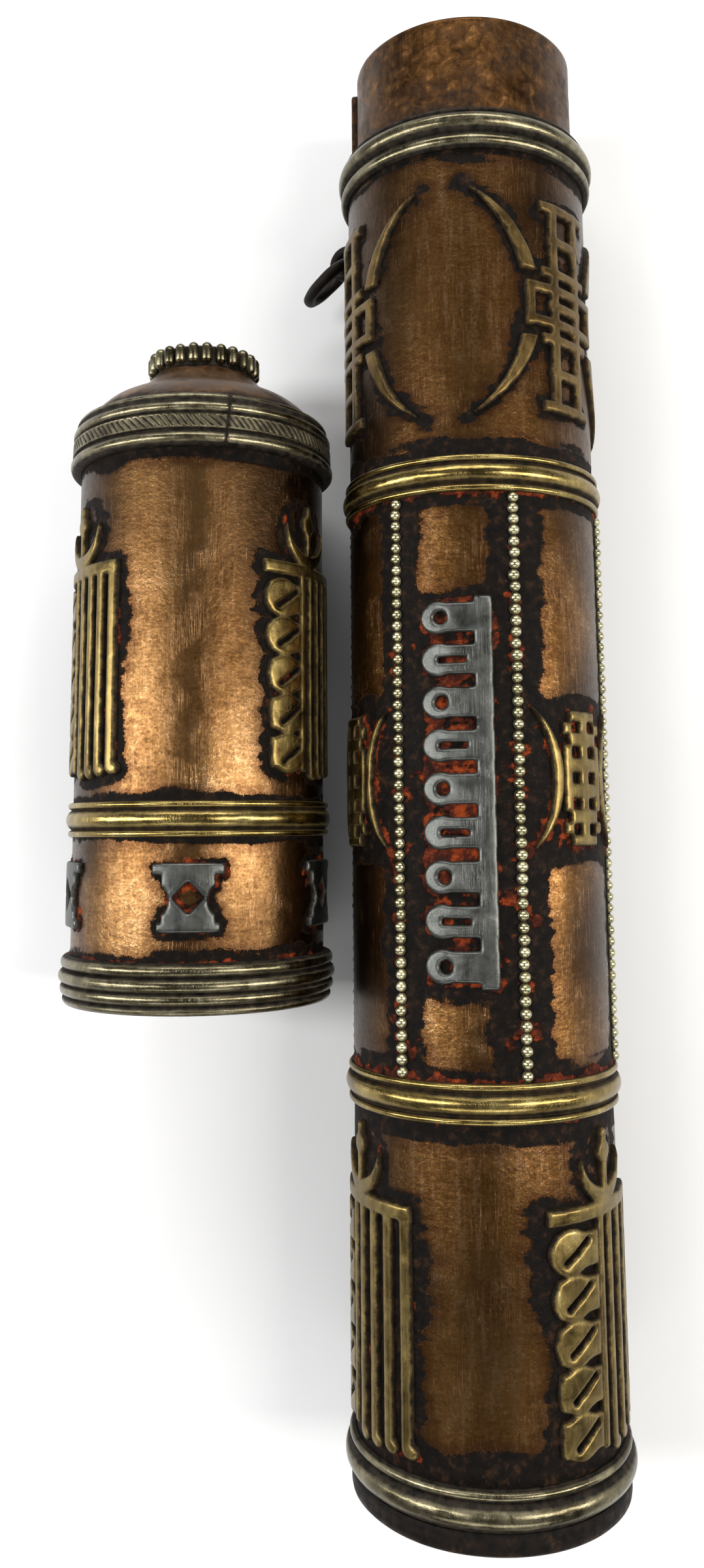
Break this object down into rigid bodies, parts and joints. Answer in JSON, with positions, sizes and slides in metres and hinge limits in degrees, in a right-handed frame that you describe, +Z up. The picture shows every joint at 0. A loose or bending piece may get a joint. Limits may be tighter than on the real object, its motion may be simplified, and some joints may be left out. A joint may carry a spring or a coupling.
{
  "type": "prayer scroll case",
  "caption": "Copper tube for a rolled prayer scroll with its cap lying beside it, banded in brass and white metal and set with cut-out fret ornaments.",
  "frame": {"origin": "centre of the flat end face at the foot of the case", "axes": "+Y along the case to the rim of its neck, +Z up from the surface it lies on, +X away from the cap"},
  "size_m": [0.1107, 0.2812, 0.0548],
  "materials": {
    "copper": "worn bare copper, brown patina in the hollows",
    "dark_copper": "dark brown copper patina with worn orange patches",
    "brass": "cast brass, rubbed bright on top, brown in the hollows",
    "white_metal": "nickel silver, yellowish grey, rubbed bright on the beads",
    "silver": "grey silver, scratched, bright at the edges",
    "iron": "black iron, dull",
    "wood": "turned dark wood, oiled",
    "paper": "handmade paper, matt, yellowed",
    "band": "red paper strip, matt"
  },
  "bodies": {
    "case": {"body_tube": "copper", "base_plate": "dark_copper", "base_rim": "dark_copper", "base_ring": "white_metal", "lower_brass_ring": "brass", "upper_brass_ring": "brass", "top_ring": "white_metal", "neck_sleeve": "dark_copper", "neck_seam_strip": "dark_copper", "upper_crescents": "brass", "upper_frets": "brass", "panel_wires": "white_metal", "panel_plaques": "silver", "panel_crescents": "brass", "panel_frets": "brass", "foot_pendants": "brass", "lug_plate": "iron", "lug_eye": "iron"},
    "cap": {"cap_tube": "copper", "cap_dome": "copper", "cap_shoulder_ring": "white_metal", "cap_mid_ring": "brass", "cap_mouth_ring": "white_metal", "cap_pendants": "brass", "cap_band_plaques": "silver", "finial_button": "white_metal", "finial_beads": "white_metal", "finial_rivet": "brass"},
    "carrying_ring": {"suspension_ring": "iron"},
    "scroll": {"scroll_roller": "wood", "scroll_paper": "paper", "scroll_bands": "band"}
  },
  "joints": [
    {"name": "cap_lift", "type": "slide", "parent": "case", "child": "cap", "axis": [0, 0, 1], "range_m": [0, 0.08]},
    {"name": "ring_swing", "type": "hinge", "parent": "case", "child": "carrying_ring", "pos_m": [-0.02633, 0.246, -0.01064], "axis": [-0.3746, 0, 0.9272], "range_deg": [-100, 30]},
    {"name": "scroll_draw", "type": "slide", "parent": "case", "child": "scroll", "axis": [0, 1, 0], "range_m": [0, 0.25]}
  ]
}
